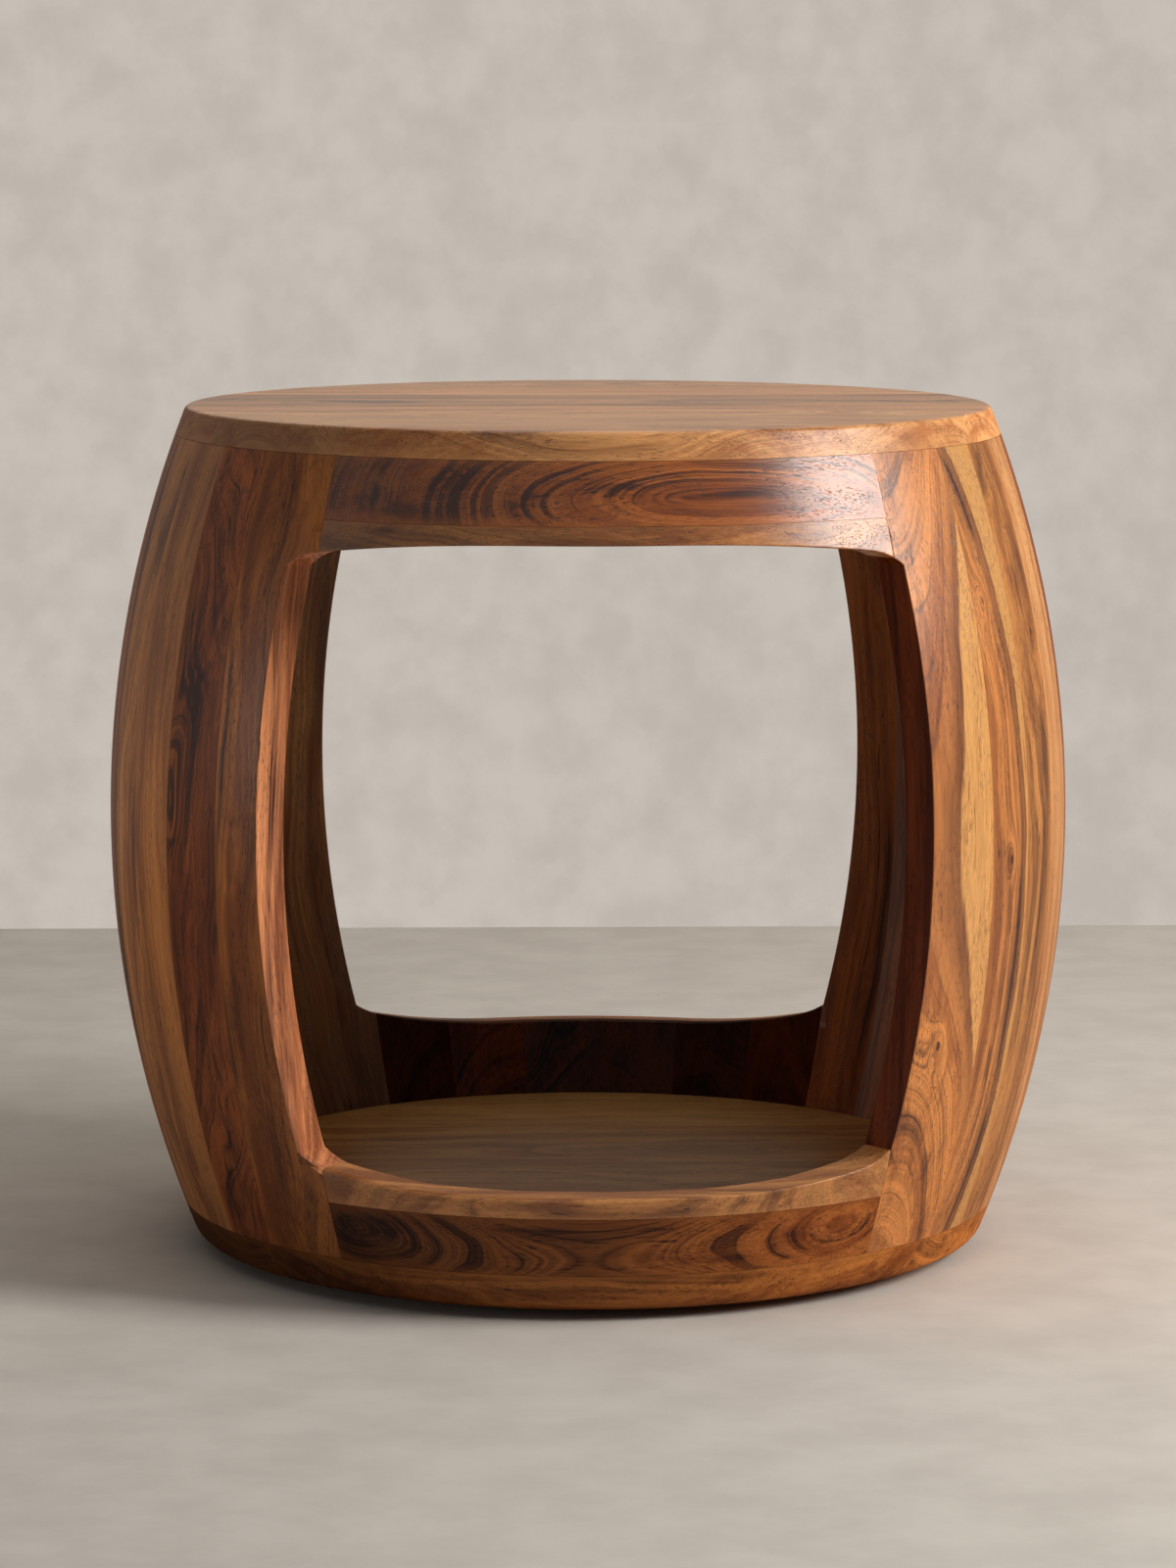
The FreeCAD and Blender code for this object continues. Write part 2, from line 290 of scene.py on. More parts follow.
def revolve(profile, steps):
    """Mesh of a profile turned about the table's axis. The profile starts and ends on the axis."""
    mesh = bmesh.new()
    rings = []
    for radius, level in profile:
        if radius == 0:
            rings.append([mesh.verts.new((0, 0, level))] * steps)
        else:
            rings.append([mesh.verts.new(at(radius, 360 * i / steps, level)) for i in range(steps)])
    for lower, upper in zip(rings, rings[1:]):
        for i in range(steps):
            j = (i + 1) % steps
            corners = [lower[i], lower[j], upper[j], upper[i]]
            mesh.faces.new(sorted(set(corners), key=corners.index))
    bmesh.ops.recalc_face_normals(mesh, faces=mesh.faces)
    return mesh


def cut(mesh, level, keep_above):
    """Cuts a mesh at a plane across Y and closes the cut."""
    geometry = mesh.verts[:] + mesh.edges[:] + mesh.faces[:]
    made = bmesh.ops.bisect_plane(
        mesh,
        geom=geometry,
        plane_co=(0, level, 0),
        plane_no=(0, 1, 0),
        clear_inner=keep_above,
        clear_outer=not keep_above,
    )
    edges = [e for e in made["geom_cut"] if isinstance(e, bmesh.types.BMEdge)]
    bmesh.ops.contextual_create(mesh, geom=edges)


def eased(points, radii):
    """Outline with some of its corners rounded."""
    made = []
    for i, (point, radius) in enumerate(zip(points, radii)):
        if not radius:
            made.append(point)
            continue
        here = Vector(point)
        before = (Vector(points[i - 1]) - here).normalized()
        after = (Vector(points[i + 1]) - here).normalized()
        half = before.angle(after) / 2
        centre = here + (before + after).normalized() * (radius / math.sin(half))
        start = here + before * (radius / math.tan(half)) - centre
        end = here + after * (radius / math.tan(half)) - centre
        turn = start.angle_signed(end)
        for share in spread(0, 1, CORNER_STEPS):
            angle = -turn * share
            x = start.x * math.cos(angle) - start.y * math.sin(angle)
            y = start.x * math.sin(angle) + start.y * math.cos(angle)
            made.append((centre.x + x, centre.y + y))
    return made


def finish_mesh(obj, rounded):
    """Rounds the marked edges and sets the shading."""
    if rounded:
        bevel = obj.modifiers.new("edge_round", "BEVEL")
        bevel.limit_method = "WEIGHT"
        bevel.width = STRIP_ROUND
        bevel.segments = BEVEL_SEGMENTS
        bevel.use_clamp_overlap = False
        graph = bpy.context.evaluated_depsgraph_get()
        mesh = bpy.data.meshes.new_from_object(obj.evaluated_get(graph))
        obj.modifiers.clear()
        obj.data = mesh
    obj.data.shade_smooth()
    obj.data.set_sharp_from_angle(angle=math.radians(SHARP_ANGLE))
    normals = obj.modifiers.new("even_shading", "WEIGHTED_NORMAL")
    normals.keep_sharp = True


def piece(name, mesh, node, slot, *materials, rounded=False):
    """Visible piece in the place of a node of the construction model."""
    data = bpy.data.meshes.new(name)
    for material in materials:
        data.materials.append(material)
    mesh.to_mesh(data)
    mesh.free()
    obj = bpy.data.objects.new(name, data)
    bpy.context.scene.collection.objects.link(obj)
    finish_mesh(obj, rounded)
    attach(obj, "root")
    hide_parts(node)


# Materials


class Graph:
    """Short ways to add nodes to a node tree. Arguments are sockets or plain values."""

    def __init__(self, tree):
        self.tree = tree

    def put(self, socket, value):
        if isinstance(value, bpy.types.NodeSocket):
            self.tree.links.new(value, socket)
        else:
            socket.default_value = value

    def add(self, kind, **settings):
        node = self.tree.nodes.new(kind)
        for key, value in settings.items():
            setattr(node, key, value)
        return node

    def math(self, operation, *values):
        node = self.add("ShaderNodeMath", operation=operation)
        for socket, value in zip(node.inputs, values):
            self.put(socket, value)
        return node.outputs[0]

    def times(self, first, second):
        return self.math("MULTIPLY", first, second)

    def plus(self, total, part, weight):
        """A total and a weighted part."""
        return self.math("MULTIPLY_ADD", part, weight, total)

    def off_middle(self, value):
        """How far a noise is from its middle."""
        return self.math("SUBTRACT", value, 0.5)

    def hill(self, distance):
        """1 at distance 0, falling off on both sides."""
        return self.math("EXPONENT", self.times(self.times(distance, distance), -1.0))

    def vector(self, operation, *values, output=0):
        node = self.add("ShaderNodeVectorMath", operation=operation)
        for socket, value in zip(node.inputs, values):
            self.put(socket, value)
        return node.outputs[output]

    def length(self, vector):
        return self.vector("LENGTH", vector, output=1)

    def scaled(self, vector, factor):
        node = self.add("ShaderNodeVectorMath", operation="SCALE")
        self.put(node.inputs[0], vector)
        self.put(node.inputs["Scale"], factor)
        return node.outputs[0]

    def parts(self, vector):
        node = self.add("ShaderNodeSeparateXYZ")
        self.put(node.inputs[0], vector)
        return node.outputs

    def mix(self, factor, first, second, blend="MIX"):
        node = self.add("ShaderNodeMix", data_type="RGBA", blend_type=blend)
        self.put(node.inputs[0], factor)
        self.put(node.inputs[6], first)
        self.put(node.inputs[7], second)
        return node.outputs[2]

    def texture(self, dimensions, place, detail, roughness):
        node = self.add("ShaderNodeTexNoise", noise_dimensions=dimensions)
        self.put(node.inputs["W" if dimensions == "1D" else "Vector"], place)
        self.put(node.inputs["Scale"], 1.0)
        self.put(node.inputs["Detail"], detail)
        self.put(node.inputs["Roughness"], roughness)
        return node.outputs

    def noise(self, vector, detail, roughness=0.5, output=0):
        return self.texture("3D", vector, detail, roughness)[output]

    def noise_along(self, distance, detail, roughness=0.5):
        return self.texture("1D", distance, detail, roughness)[0]

    def ramp(self, value, low, high, start=0.0, end=1.0):
        node = self.add("ShaderNodeMapRange", interpolation_type="SMOOTHSTEP")
        for socket, given in zip(node.inputs, (value, low, high, start, end)):
            self.put(socket, given)
        return node.outputs[0]

    def relief(self, height, strength, distance):
        node = self.add("ShaderNodeBump")
        node.inputs["Strength"].default_value = strength
        node.inputs["Distance"].default_value = distance
        self.put(node.inputs["Height"], height)
        return node.outputs[0]


WOOD_INPUTS = {
    "Vector": ("Point", "Pith", "Knot", "Knot size", "Eye", "Eye size"),
    "Color": ("Light", "Main", "Dark", "Sap"),
    "Float": (
        "Rings", "Wander", "Lines", "Ink", "Sap start", "Seed", "Knot pull", "Eye pull", "Painted light slope", "Painted bulge light",
    ),
}
WOOD_OUTPUTS = {"Color": "Color", "Roughness": "Float", "Height": "Float"}

# Repeats per metre of the wood's figures, in the two directions across the grain and along it
BROAD_WAVES = (10, 10, 6)
CLOSE_WAVES = (44, 44, 9)
PATCHES = (14, 14, 4.5)
FADING = (30, 30, 6)
RIBBONS = (75, 75, 5)
STREAKS = (300, 300, 9)
HAIRS = (620, 620, 6)
MARKS = (300, 300, 36)
FIBRES = (1500, 1500, 42)
PORES = (1350, 1350, 190)
PORE_GROUPS = (90, 90, 14)
# How far a step of the seed moves the figures and the rings
SEED_SHIFT = (0.37, 0.71, 0.53)
SEED_RINGS = 13.7
# Darkest and lightest that the painted light and shade along the grain make the wood, and how steeply the
# painted sheen at the bulge falls off per metre
DARKEST, LIGHTEST = 0.35, 1.65
PAINTED_BULGE_FALL = 6.5


def make_wood_group():
    """Solid wood: growth rings about a pith that runs along Z, with fibres, pores, knots and sapwood, and
    painted light and shade along the grain and at the bulge.
    """
    group = bpy.data.node_groups.new("solid_wood", "ShaderNodeTree")
    for kind, names in WOOD_INPUTS.items():
        for name in names:
            group.interface.new_socket(name, in_out="INPUT", socket_type="NodeSocket" + kind)
    for name, kind in WOOD_OUTPUTS.items():
        group.interface.new_socket(name, in_out="OUTPUT", socket_type="NodeSocket" + kind)
    g = Graph(group)
    given = g.add("NodeGroupInput").outputs
    point, seed, wander = given["Point"], given["Seed"], given["Wander"]
    shift = g.vector("ADD", point, g.scaled(SEED_SHIFT, seed))

    def figure(scale, detail, roughness=0.5, start=shift, output=0):
        return g.noise(g.vector("MULTIPLY", start, scale), detail, roughness, output)

    def swirl(scale):
        return g.vector("SUBTRACT", figure(scale, 2, output=1), (0.5, 0.5, 0.5))

    def knot(name):
        """Bump in the growth rings round a knot, and the knot's core."""
        off = g.vector("DIVIDE", g.vector("SUBTRACT", point, given[name]), given[name + " size"])
        distance = g.length(off)
        return g.times(g.hill(distance), given[name + " pull"]), g.ramp(distance, 0.18, 0.34, 1.0, 0.0)

    # Growth rings that wander
    broad, close = swirl(BROAD_WAVES), swirl(CLOSE_WAVES)
    moved = g.vector("ADD", point, g.scaled(broad, g.times(wander, 2.6)))
    moved = g.vector("ADD", moved, g.scaled(close, g.times(wander, 0.35)))
    ring = g.length(g.vector("MULTIPLY", g.vector("SUBTRACT", moved, given["Pith"]), (1, 1, 0)))
    knot_pull, knot_core = knot("Knot")
    eye_pull, eye_core = knot("Eye")
    ring = g.math("ADD", g.math("ADD", ring, knot_pull), eye_pull)
    count = g.math("ADD", g.times(ring, given["Rings"]), g.times(seed, SEED_RINGS))

    def across_rings(rate, start, detail, roughness=0.5):
        return g.noise_along(g.plus(start, count, rate), detail, roughness)

    def thin_line(wave, low, high):
        return g.ramp(g.math("ABSOLUTE", g.off_middle(wave)), low, high, 1.0, 0.0)

    # Bands and lines that follow the rings
    bands = across_rings(0.5, 0.0, 3, 0.55)
    tooth = g.math("FRACT", g.plus(g.times(count, 0.8), bands, 2.2))
    force = g.ramp(across_rings(0.37, 17.0, 1), 0.40, 0.62)
    edge = g.ramp(tooth, 0.90, 1.0, 1.0, 0.0)
    growth = g.times(g.times(g.math("POWER", tooth, 3.0), edge), force)
    line = thin_line(across_rings(1.1, 31.0, 1), 0.006, 0.05)
    fine = thin_line(across_rings(3.4, 53.0, 1), 0.01, 0.10)
    ink = g.ramp(across_rings(0.3, 77.0, 2), 0.48, 0.72)

    # Figures that follow the grain
    drift = g.vector("ADD", shift, g.scaled(broad, g.times(wander, 3.0)))
    patch = figure(PATCHES, 3, 0.55)
    ribbon = figure(RIBBONS, 3, 0.55, drift)
    streak = figure(STREAKS, 3, 0.6, drift)
    hair = g.ramp(figure(HAIRS, 2, 0.55, drift), 0.55, 0.72)
    fibre = figure(FIBRES, 2, 0.6)
    pore = g.times(g.ramp(figure(PORES, 1), 0.58, 0.68), g.ramp(figure(PORE_GROUPS, 2), 0.34, 0.62))
    mark = g.ramp(figure(MARKS, 1), 0.735, 0.775)

    # Main and light wood
    tone = g.times(g.ramp(bands, 0.34, 0.64), 0.42)
    for part, weight in ((patch, 0.32), (ribbon, 0.32), (streak, 0.26)):
        tone = g.plus(tone, g.ramp(part, 0.34, 0.66), weight)
    colour = g.mix(g.ramp(tone, 0.20, 1.0), given["Main"], given["Light"])

    # Dark lines, knots and marks
    fade = g.ramp(figure(FADING, 2), 0.62, 0.42, 0.12, 1.0)
    ink = g.times(ink, g.ramp(streak, 0.30, 0.70, 0.95, 0.45))
    dark = g.plus(g.times(growth, 0.9), line, 0.5)
    dark = g.times(g.plus(dark, ink, given["Ink"]), fade)
    dark = g.plus(dark, g.times(fine, g.ramp(patch, 0.40, 0.60)), 0.36)
    dark = g.plus(dark, g.ramp(ribbon, 0.44, 0.30), 0.4)
    dark = g.plus(dark, hair, 0.42)
    dark = g.times(dark, given["Lines"])
    dark = g.plus(dark, g.math("ADD", knot_core, eye_core), 0.9)
    dark = g.plus(dark, mark, 0.6)
    colour = g.mix(g.math("MINIMUM", dark, 1.0), colour, given["Dark"])

    # Sapwood, with a dark edge and fine streaks
    sap_edge = g.math("SUBTRACT", g.plus(ring, g.off_middle(streak), 0.003), given["Sap start"])
    colour = g.mix(g.ramp(sap_edge, -0.010, 0.0, 0.0, 0.6), colour, given["Dark"])
    pale = g.times(g.math("ADD", growth, g.ramp(streak, 0.5, 0.7)), 0.22)
    pale = g.plus(pale, hair, 0.75)
    sap = g.times(g.ramp(sap_edge, -0.0004, 0.0010), 0.92)
    colour = g.mix(sap, colour, g.mix(pale, given["Sap"], given["Main"]))

    # Fibres and pores, then painted light and shade: lighter or darker along the grain, and a painted sheen
    # that is lightest at the bulge and darker above and below it
    light = g.times(g.plus(0.60, fibre, 0.80), g.plus(1.0, pore, -0.6))
    along = g.parts(point)[2]
    # Painted light and shade: a gradient along the grain
    slope = g.plus(1.0, along, given["Painted light slope"])
    light = g.times(light, g.math("MINIMUM", g.math("MAXIMUM", slope, DARKEST), LIGHTEST))
    # Painted sheen at the bulge, with painted shade above and below it
    bulge = g.hill(g.times(g.math("SUBTRACT", along, BULGE_LEVEL), PAINTED_BULGE_FALL))
    light = g.times(light, g.plus(1.0, g.off_middle(bulge), given["Painted bulge light"]))
    colour = g.mix(1.0, colour, light, "MULTIPLY")

    rough = g.plus(g.plus(0.40, g.off_middle(streak), 0.16), pore, 0.14)
    height = g.plus(g.plus(g.times(pore, -0.8), fibre, 0.30), line, -0.12)
    out = g.add("NodeGroupOutput").inputs
    for name, value in (("Color", colour), ("Roughness", rough), ("Height", height)):
        g.put(out[name], value)
    return group


WOOD = make_wood_group()

# Light, main, dark and sapwood colours
TONES = {
    "dark": ((0.260, 0.080, 0.026), (0.110, 0.028, 0.009), (0.022, 0.006, 0.004), (0.46, 0.20, 0.060)),
    "brown": ((0.470, 0.140, 0.036), (0.220, 0.052, 0.012), (0.042, 0.010, 0.005), (0.60, 0.28, 0.090)),
    "golden": ((0.680, 0.265, 0.070), (0.340, 0.105, 0.024), (0.070, 0.017, 0.006), (0.68, 0.36, 0.120)),
    "tan": ((0.760, 0.360, 0.130), (0.480, 0.170, 0.048), (0.160, 0.045, 0.015), (0.80, 0.48, 0.190)),
}
NO_SAP = 9.0
NO_KNOT = ((9.0, 9.0, 9.0), (1.0, 1.0, 1.0), 0.0)
COAT_IOR = 2.4
PLASTIC_GRAIN = 900.0
# Strength and depth
WOOD_RELIEF = (0.35, 0.0005)
PLASTIC_RELIEF = (0.3, 0.0002)
# Share of light wood on sharp edges, which is wear and a painted highlight, and of dark wood on faces that
# turn to the left, which is end grain on the planks' ends and painted shade on the unlit side
EDGE_WEAR_AND_HIGHLIGHT = 0.35
END_GRAIN_AND_LEFT_SHADE = 0.85


def new_material(name):
    material = bpy.data.materials.new(name)
    material.use_nodes = True
    return material, Graph(material.node_tree), material.node_tree.nodes["Principled BSDF"]


def grain_point(g, grain, spin, tilt, bow):
    """Point with the grain along Z. For upright pieces X runs along the wall at angle spin."""
    mapping = g.add("ShaderNodeMapping")
    g.put(mapping.inputs["Vector"], g.add("ShaderNodeTexCoord").outputs["Object"])
    mapping.inputs["Rotation"].default_value = [math.radians(angle) for angle in (*tilt, -spin)]
    point = mapping.outputs[0]
    if grain == "z" and not bow:
        return point
    x, y, z = g.parts(point)
    if bow:
        rise = g.math("SUBTRACT", z, BULGE_LEVEL)
        y = g.plus(y, g.times(rise, rise), -bow * WALL_CURVATURE / 2)
    joined = g.add("ShaderNodeCombineXYZ")
    for socket, part in zip(joined.inputs, (y, z, x) if grain == "x" else (x, y, z)):
        g.put(socket, part)
    return joined.outputs[0]


def wood(name, tone, spin=0.0, grain="z", tilt=(0.0, 0.0), pith=(0.02, 0.05), rings=190.0, wander=0.006,
         lines=0.75, ink=0.8, sap=NO_SAP, seed=1.0, knot=NO_KNOT, eye=NO_KNOT, shade=1.0, bow=0.0,
         along=0.0, painted_bulge_light=0.0, coat=0.28, gloss=0.33):
    """Wood material with its grain along z or x.

    pith is where the rings' middle lies, rings their number per metre, and sap how far from the pith the
    sapwood starts. bow is how much of the wall's bow the pith follows.
    knot and eye are each a place, sizes along the three directions and how far they pull the rings.
    shade multiplies the colours, by one number or by three. along is how much lighter it gets per metre of
    grain, which is painted light and shade. The bulge setting after it is a painted sheen: how much lighter
    the wood is at the bulge, and darker above and below it.
    """
    material, g, shader = new_material(name)
    tint = shade if isinstance(shade, tuple) else (shade,) * 3
    light, main, dark, pale = (tuple(c * t for c, t in zip(colour, tint)) + (1.0,) for colour in TONES[tone])
    given = {
        "Point": grain_point(g, grain, spin, tilt, bow),
        "Light": light, "Main": main, "Dark": dark, "Sap": pale,
        "Pith": (*pith, 0.0), "Rings": rings, "Wander": wander, "Lines": lines, "Ink": ink,
        "Sap start": sap, "Seed": seed, "Painted light slope": along, "Painted bulge light": painted_bulge_light,
    }
    for key, (place, size, amount) in (("Knot", knot), ("Eye", eye)):
        given.update({key: place, key + " size": size, key + " pull": amount})
    group = g.add("ShaderNodeGroup", node_tree=WOOD)
    for key, value in given.items():
        g.put(group.inputs[key], value)
    surface = g.add("ShaderNodeNewGeometry").outputs
    # Lighter sharp edges: wear, and a painted highlight where light catches the edges
    wear_and_painted_light = g.mix(g.ramp(surface["Pointiness"], 0.52, 0.62, 0.0, EDGE_WEAR_AND_HIGHLIGHT), group.outputs["Color"], light)
    if grain == "x":
        # Darker faces that turn to the left: end grain on the planks' ends, and painted shade on the unlit
        # left side
        facing = g.vector("DOT_PRODUCT", surface["Normal"], (-1, 0, 0), output=1)
        wear_and_painted_light = g.mix(g.ramp(facing, 0.25, 0.85, 0.0, END_GRAIN_AND_LEFT_SHADE), wear_and_painted_light, g.mix(0.7, wear_and_painted_light, dark))
    relief = g.relief(group.outputs["Height"], *WOOD_RELIEF)
    for key, value in (
        ("Base Color", wear_and_painted_light),
        ("Roughness", group.outputs["Roughness"]),
        ("Normal", relief),
        ("Specular IOR Level", 0.0),
        ("Coat Weight", coat),
        ("Coat IOR", COAT_IOR),
        ("Coat Roughness", gloss),
        ("Coat Normal", relief),
    ):
        g.put(shader.inputs[key], value)
    return material


def glide_material():
    """Dull black moulded plastic with a fine grain."""
    material, g, shader = new_material("glide_plastic")
    grain = g.noise(g.scaled(g.add("ShaderNodeTexCoord").outputs["Object"], PLASTIC_GRAIN), 3)
    g.put(shader.inputs["Base Color"], g.mix(grain, (0.012, 0.012, 0.013, 1), (0.030, 0.029, 0.028, 1)))
    g.put(shader.inputs["Roughness"], g.ramp(grain, 0.3, 0.7, 0.45, 0.65))
    g.put(shader.inputs["Normal"], g.relief(grain, *PLASTIC_RELIEF))
    return material


# Looks of single pieces, which follow the photograph
LOOK_SEED = 7
draw = random.Random(LOOK_SEED)
LOOKS = {
    # Left staves 01 to 04: along and the bulge setting are painted light and shade, lighter towards the top
    # and at the bulge, darker low down
    "left_stave_01": dict(tone="brown", rings=90, lines=0.8, wander=0.014, pith=(0.08, -0.22), bow=0.5,
                          along=0.8, painted_bulge_light=0.5, coat=0.18, shade=(0.85, 0.93, 0.7)),
    # Face of the front-left jamb: made lighter than its stave, painted light
    "left_stave_01_bay": dict(tone="golden", rings=200, lines=0.6, wander=0.006, along=0.0, painted_bulge_light=0.0,
                              coat=0.28, shade=(1.4, 1.38, 2.1)),
    "left_stave_02": dict(tone="dark", rings=95, lines=1.3, wander=0.018, pith=(0.03, -0.19), bow=0.4,
                          along=0.8, painted_bulge_light=0.4, coat=0.18, shade=(1.35, 1.15, 0.8),
                          knot=((0.017, -0.256, 0.443), (0.010, 0.03, 0.020), -0.03)),
    "left_stave_03": dict(tone="golden", rings=60, lines=0.35, wander=0.014, pith=(-0.09, -0.25), bow=0.6,
                          painted_bulge_light=0.8, shade=(0.84, 0.78, 0.66),
                          knot=((-0.0222, -0.282, 0.208), (0.004, 0.02, 0.009), -0.01)),
    "left_stave_04": dict(tone="golden", rings=80, lines=0.7, wander=0.016, pith=(-0.05, -0.22), bow=0.4,
                          painted_bulge_light=0.6, shade=(0.85, 0.8, 0.68)),
    "left_stave_06": dict(tone="dark"),
    "left_stave_07": dict(tone="golden"),
    "left_stave_09": dict(tone="dark"),
    # Inside of the back-left wall: darker towards the bottom and lighter at the bulge, painted shade and
    # painted light
    "left_stave_10": dict(tone="golden", along=2.0, painted_bulge_light=0.9, shade=(0.42, 0.55, 0.70)),
    "left_stave_11": dict(tone="golden", lines=0.5, along=2.0, painted_bulge_light=0.9, shade=(0.46, 0.66, 0.95)),
    "right_stave_01": dict(tone="golden", rings=170, lines=0.75, ink=0.15, wander=0.006, bow=0.0,
                           pith=(-0.025, -0.225), tilt=(1.7, 1.8), sap=0.0744, shade=(1.07, 1.0, 0.9),
                           knot=((-0.0069, -0.2825, 0.137), (0.006, 0.03, 0.011), -0.010)),
    # Face of the front-right jamb: made darker than its stave, painted shade
    "right_stave_01_bay": dict(tone="dark", lines=0.5, sap=NO_SAP, coat=0.08, shade=(0.8, 0.52, 0.3)),
    "right_stave_02": dict(tone="golden", rings=130, lines=0.9, wander=0.008, bow=0.0,
                           pith=(-0.0867, -0.3148), sap=0.1122, shade=(0.9, 0.84, 0.76),
                           knot=((-0.0067, -0.268, 0.403), (0.005, 0.03, 0.012), -0.012),
                           eye=((0.002, -0.285, 0.255), (0.006, 0.03, 0.014), -0.012)),
    "right_stave_03": dict(tone="golden", rings=120, lines=0.9, wander=0.012, pith=(0.05, -0.22), bow=0.3,
                           shade=(0.82, 0.84, 0.78),
                           knot=((0.0066, -0.273, 0.379), (0.005, 0.03, 0.011), -0.012),
                           eye=((0.0196, -0.278, 0.345), (0.005, 0.03, 0.011), -0.012)),
    "right_stave_04": dict(tone="tan", rings=100, lines=0.4, pith=(0.10, -0.27), shade=0.9),
    "right_stave_06": dict(tone="dark"),
    "right_stave_07": dict(tone="golden"),
    "right_stave_10": dict(tone="golden", shade=0.85),
    "right_stave_11": dict(tone="golden", shade=0.9),
    # Front rails: along makes them lighter to the right and darker to the left, painted light and painted
    # shade
    "upper_front_rail_board": dict(tone="golden", spin=17.0, tilt=(0.0, 0.0), pith=(-0.257, 0.467), rings=190,
                                   lines=1.5, ink=0.5, seed=2.3, along=2.2, coat=0.36, gloss=0.28,
                                   shade=(0.80, 0.58, 0.40)),
    "upper_front_rail_strip": dict(lines=0.6, ink=0.3, along=2.0, coat=0.36, gloss=0.30,
                                   shade=(0.76, 0.76, 0.8)),
    "lower_front_rail_board": dict(tone="golden", pith=(-0.21, 0.046), lines=1.0, along=4.5, coat=0.10,
                                   shade=(0.48, 0.38, 0.31)),
    "lower_front_rail_strip": dict(lines=0.5, ink=0.2, shade=(0.98, 1.05, 1.15)),
}
TOP_SHADES = (1.06, 0.88, 1.08, 0.91, 1.12, 0.94)
LOOKS.update({f"top_plank_{i + 1}": dict(shade=shade) for i, shade in enumerate(TOP_SHADES)})
LINING_SHADES = {"front": (1.3, 1.0, 1.2, 0.9, 1.4, 1.1), "back": (0.6, 0.3, 0.4, 0.5, 0.7, 0.3)}


def look(name, **base):
    """Seeded variation for a piece, under what is listed for it."""
    made = dict(
        tilt=(draw.uniform(-1.2, 1.2), draw.uniform(-1.2, 1.2)),
        rings=draw.uniform(100, 150),
        wander=draw.uniform(0.008, 0.016),
        lines=draw.uniform(0.55, 0.85),
        seed=draw.uniform(1, 9),
        shade=draw.uniform(0.9, 1.1),
    )
    made.update(base)
    made.update(LOOKS.get(name, {}))
    return made


# Pieces
SLOTS = {part["node"]: part["material_slot"] for part in frame["record"]["subparts"]}


def make_stave(name, span, first, last):
    """Stave between two angles. first and last say how its edge at the front or the back bay runs."""
    jamb = first or last
    if jamb:
        outer_rows, inner_rows = bay_edge(0, *jamb), bay_edge(WALL, *jamb)
    else:
        levels = spread(WALL_BOTTOM + JOINT, WALL_TOP - JOINT, STAVE_ROWS)
        outer_rows = inner_rows = [(level, 0, False) for level in levels]
    side = 1 if span[1] > span[0] else -1
    last_point = 2 * STAVE_COLUMNS - 1
    corner = 0 if first else STAVE_COLUMNS - 1
    rings, rounds, bay = [], {}, set()
    for i, (outer, inner) in enumerate(zip(outer_rows, inner_rows)):
        in_bay = outer[2]
        ring = []
        for inset, (level, angle, _) in ((0, outer), (WALL, inner)):
            radius = outer_radius(level) - inset
            gap = side * math.degrees(JOINT / radius)
            start = (angle if first else span[0]) + gap * (not in_bay or not first)
            end = (angle if last else span[1]) - gap * (not in_bay or not last)
            line = []
            for turn in spread(start, end, STAVE_COLUMNS):
                line.append(at(flat_radius(radius, turn, span) if inset else radius, turn, level))
            ring += line[::-1] if inset else line
        rings.append(ring)
        if in_bay and i + 1 < len(outer_rows):
            rounds[i, corner] = bay_round(jamb[0], outer[0], outer[1])
            rounds[i, last_point - corner] = INNER_ROUND
            bay.add((i, last_point if first else corner))
    pith = draw.choice((-1, 1)) * draw.uniform(0.05, 0.11), draw.uniform(-0.28, -0.23)
    settings = look(name, tone="brown", pith=pith, bow=draw.uniform(0.2, 0.8))
    spin = (span[0] + span[1]) / 2
    materials = [wood(name, spin=spin, **settings)]
    if jamb:
        # The bay face can have its own look; at the front jambs this is painted light on the left and painted
        # shade on the right
        settings.update(LOOKS.get(name + "_bay", {}))
        materials.append(wood(name + "_bay", spin=spin, **settings))
    piece(name + "_shaped", loft(rings, rounds, bay), name, SLOTS[name], *materials, rounded=bool(rounds))


for side, side_spans in (("left", LEFT_SPANS), ("right", RIGHT_SPANS)):
    sign = -1 if side == "left" else 1
    back_corner = BAY_CORNERS["back"][1] - 360 if side == "left" else BAY_CORNERS["back"][0]
    for i, span in enumerate(side_spans):
        first = last = None
        if i == 0:
            first = ("front", sign * FRONT_BAY, span[0], sign)
        if i == len(side_spans) - 1:
            last = ("back", back_corner, span[1], -sign)
        make_stave(f"{side}_stave_{i + 1:02d}", span, first, last)

RAIL_GAP = math.degrees(JOINT / BULGE_RADIUS)
RAIL_FLATS = {end: spans([1] * LINING_BLOCKS, *ends) for end, ends in RAIL_ENDS.items()}
BOARD_LEVELS = {
    (place, end): (WALL_BOTTOM, LOWER_SEAM[end]) if place == "lower" else (UPPER_SEAM, WALL_TOP)
    for place in ("lower", "upper")
    for end in RAIL_ENDS
}


def rail_steps(end):
    """Angles along a rail, each with the inner flat that it is on. The edges of the flats are among them."""
    turns = spread(*RAIL_ENDS[end], LINING_BLOCKS * BLOCK_STEPS + 1)
    turns[0] += RAIL_GAP
    turns[-1] -= RAIL_GAP
    return [(turn, RAIL_FLATS[end][min(i // BLOCK_STEPS, LINING_BLOCKS - 1)]) for i, turn in enumerate(turns)]


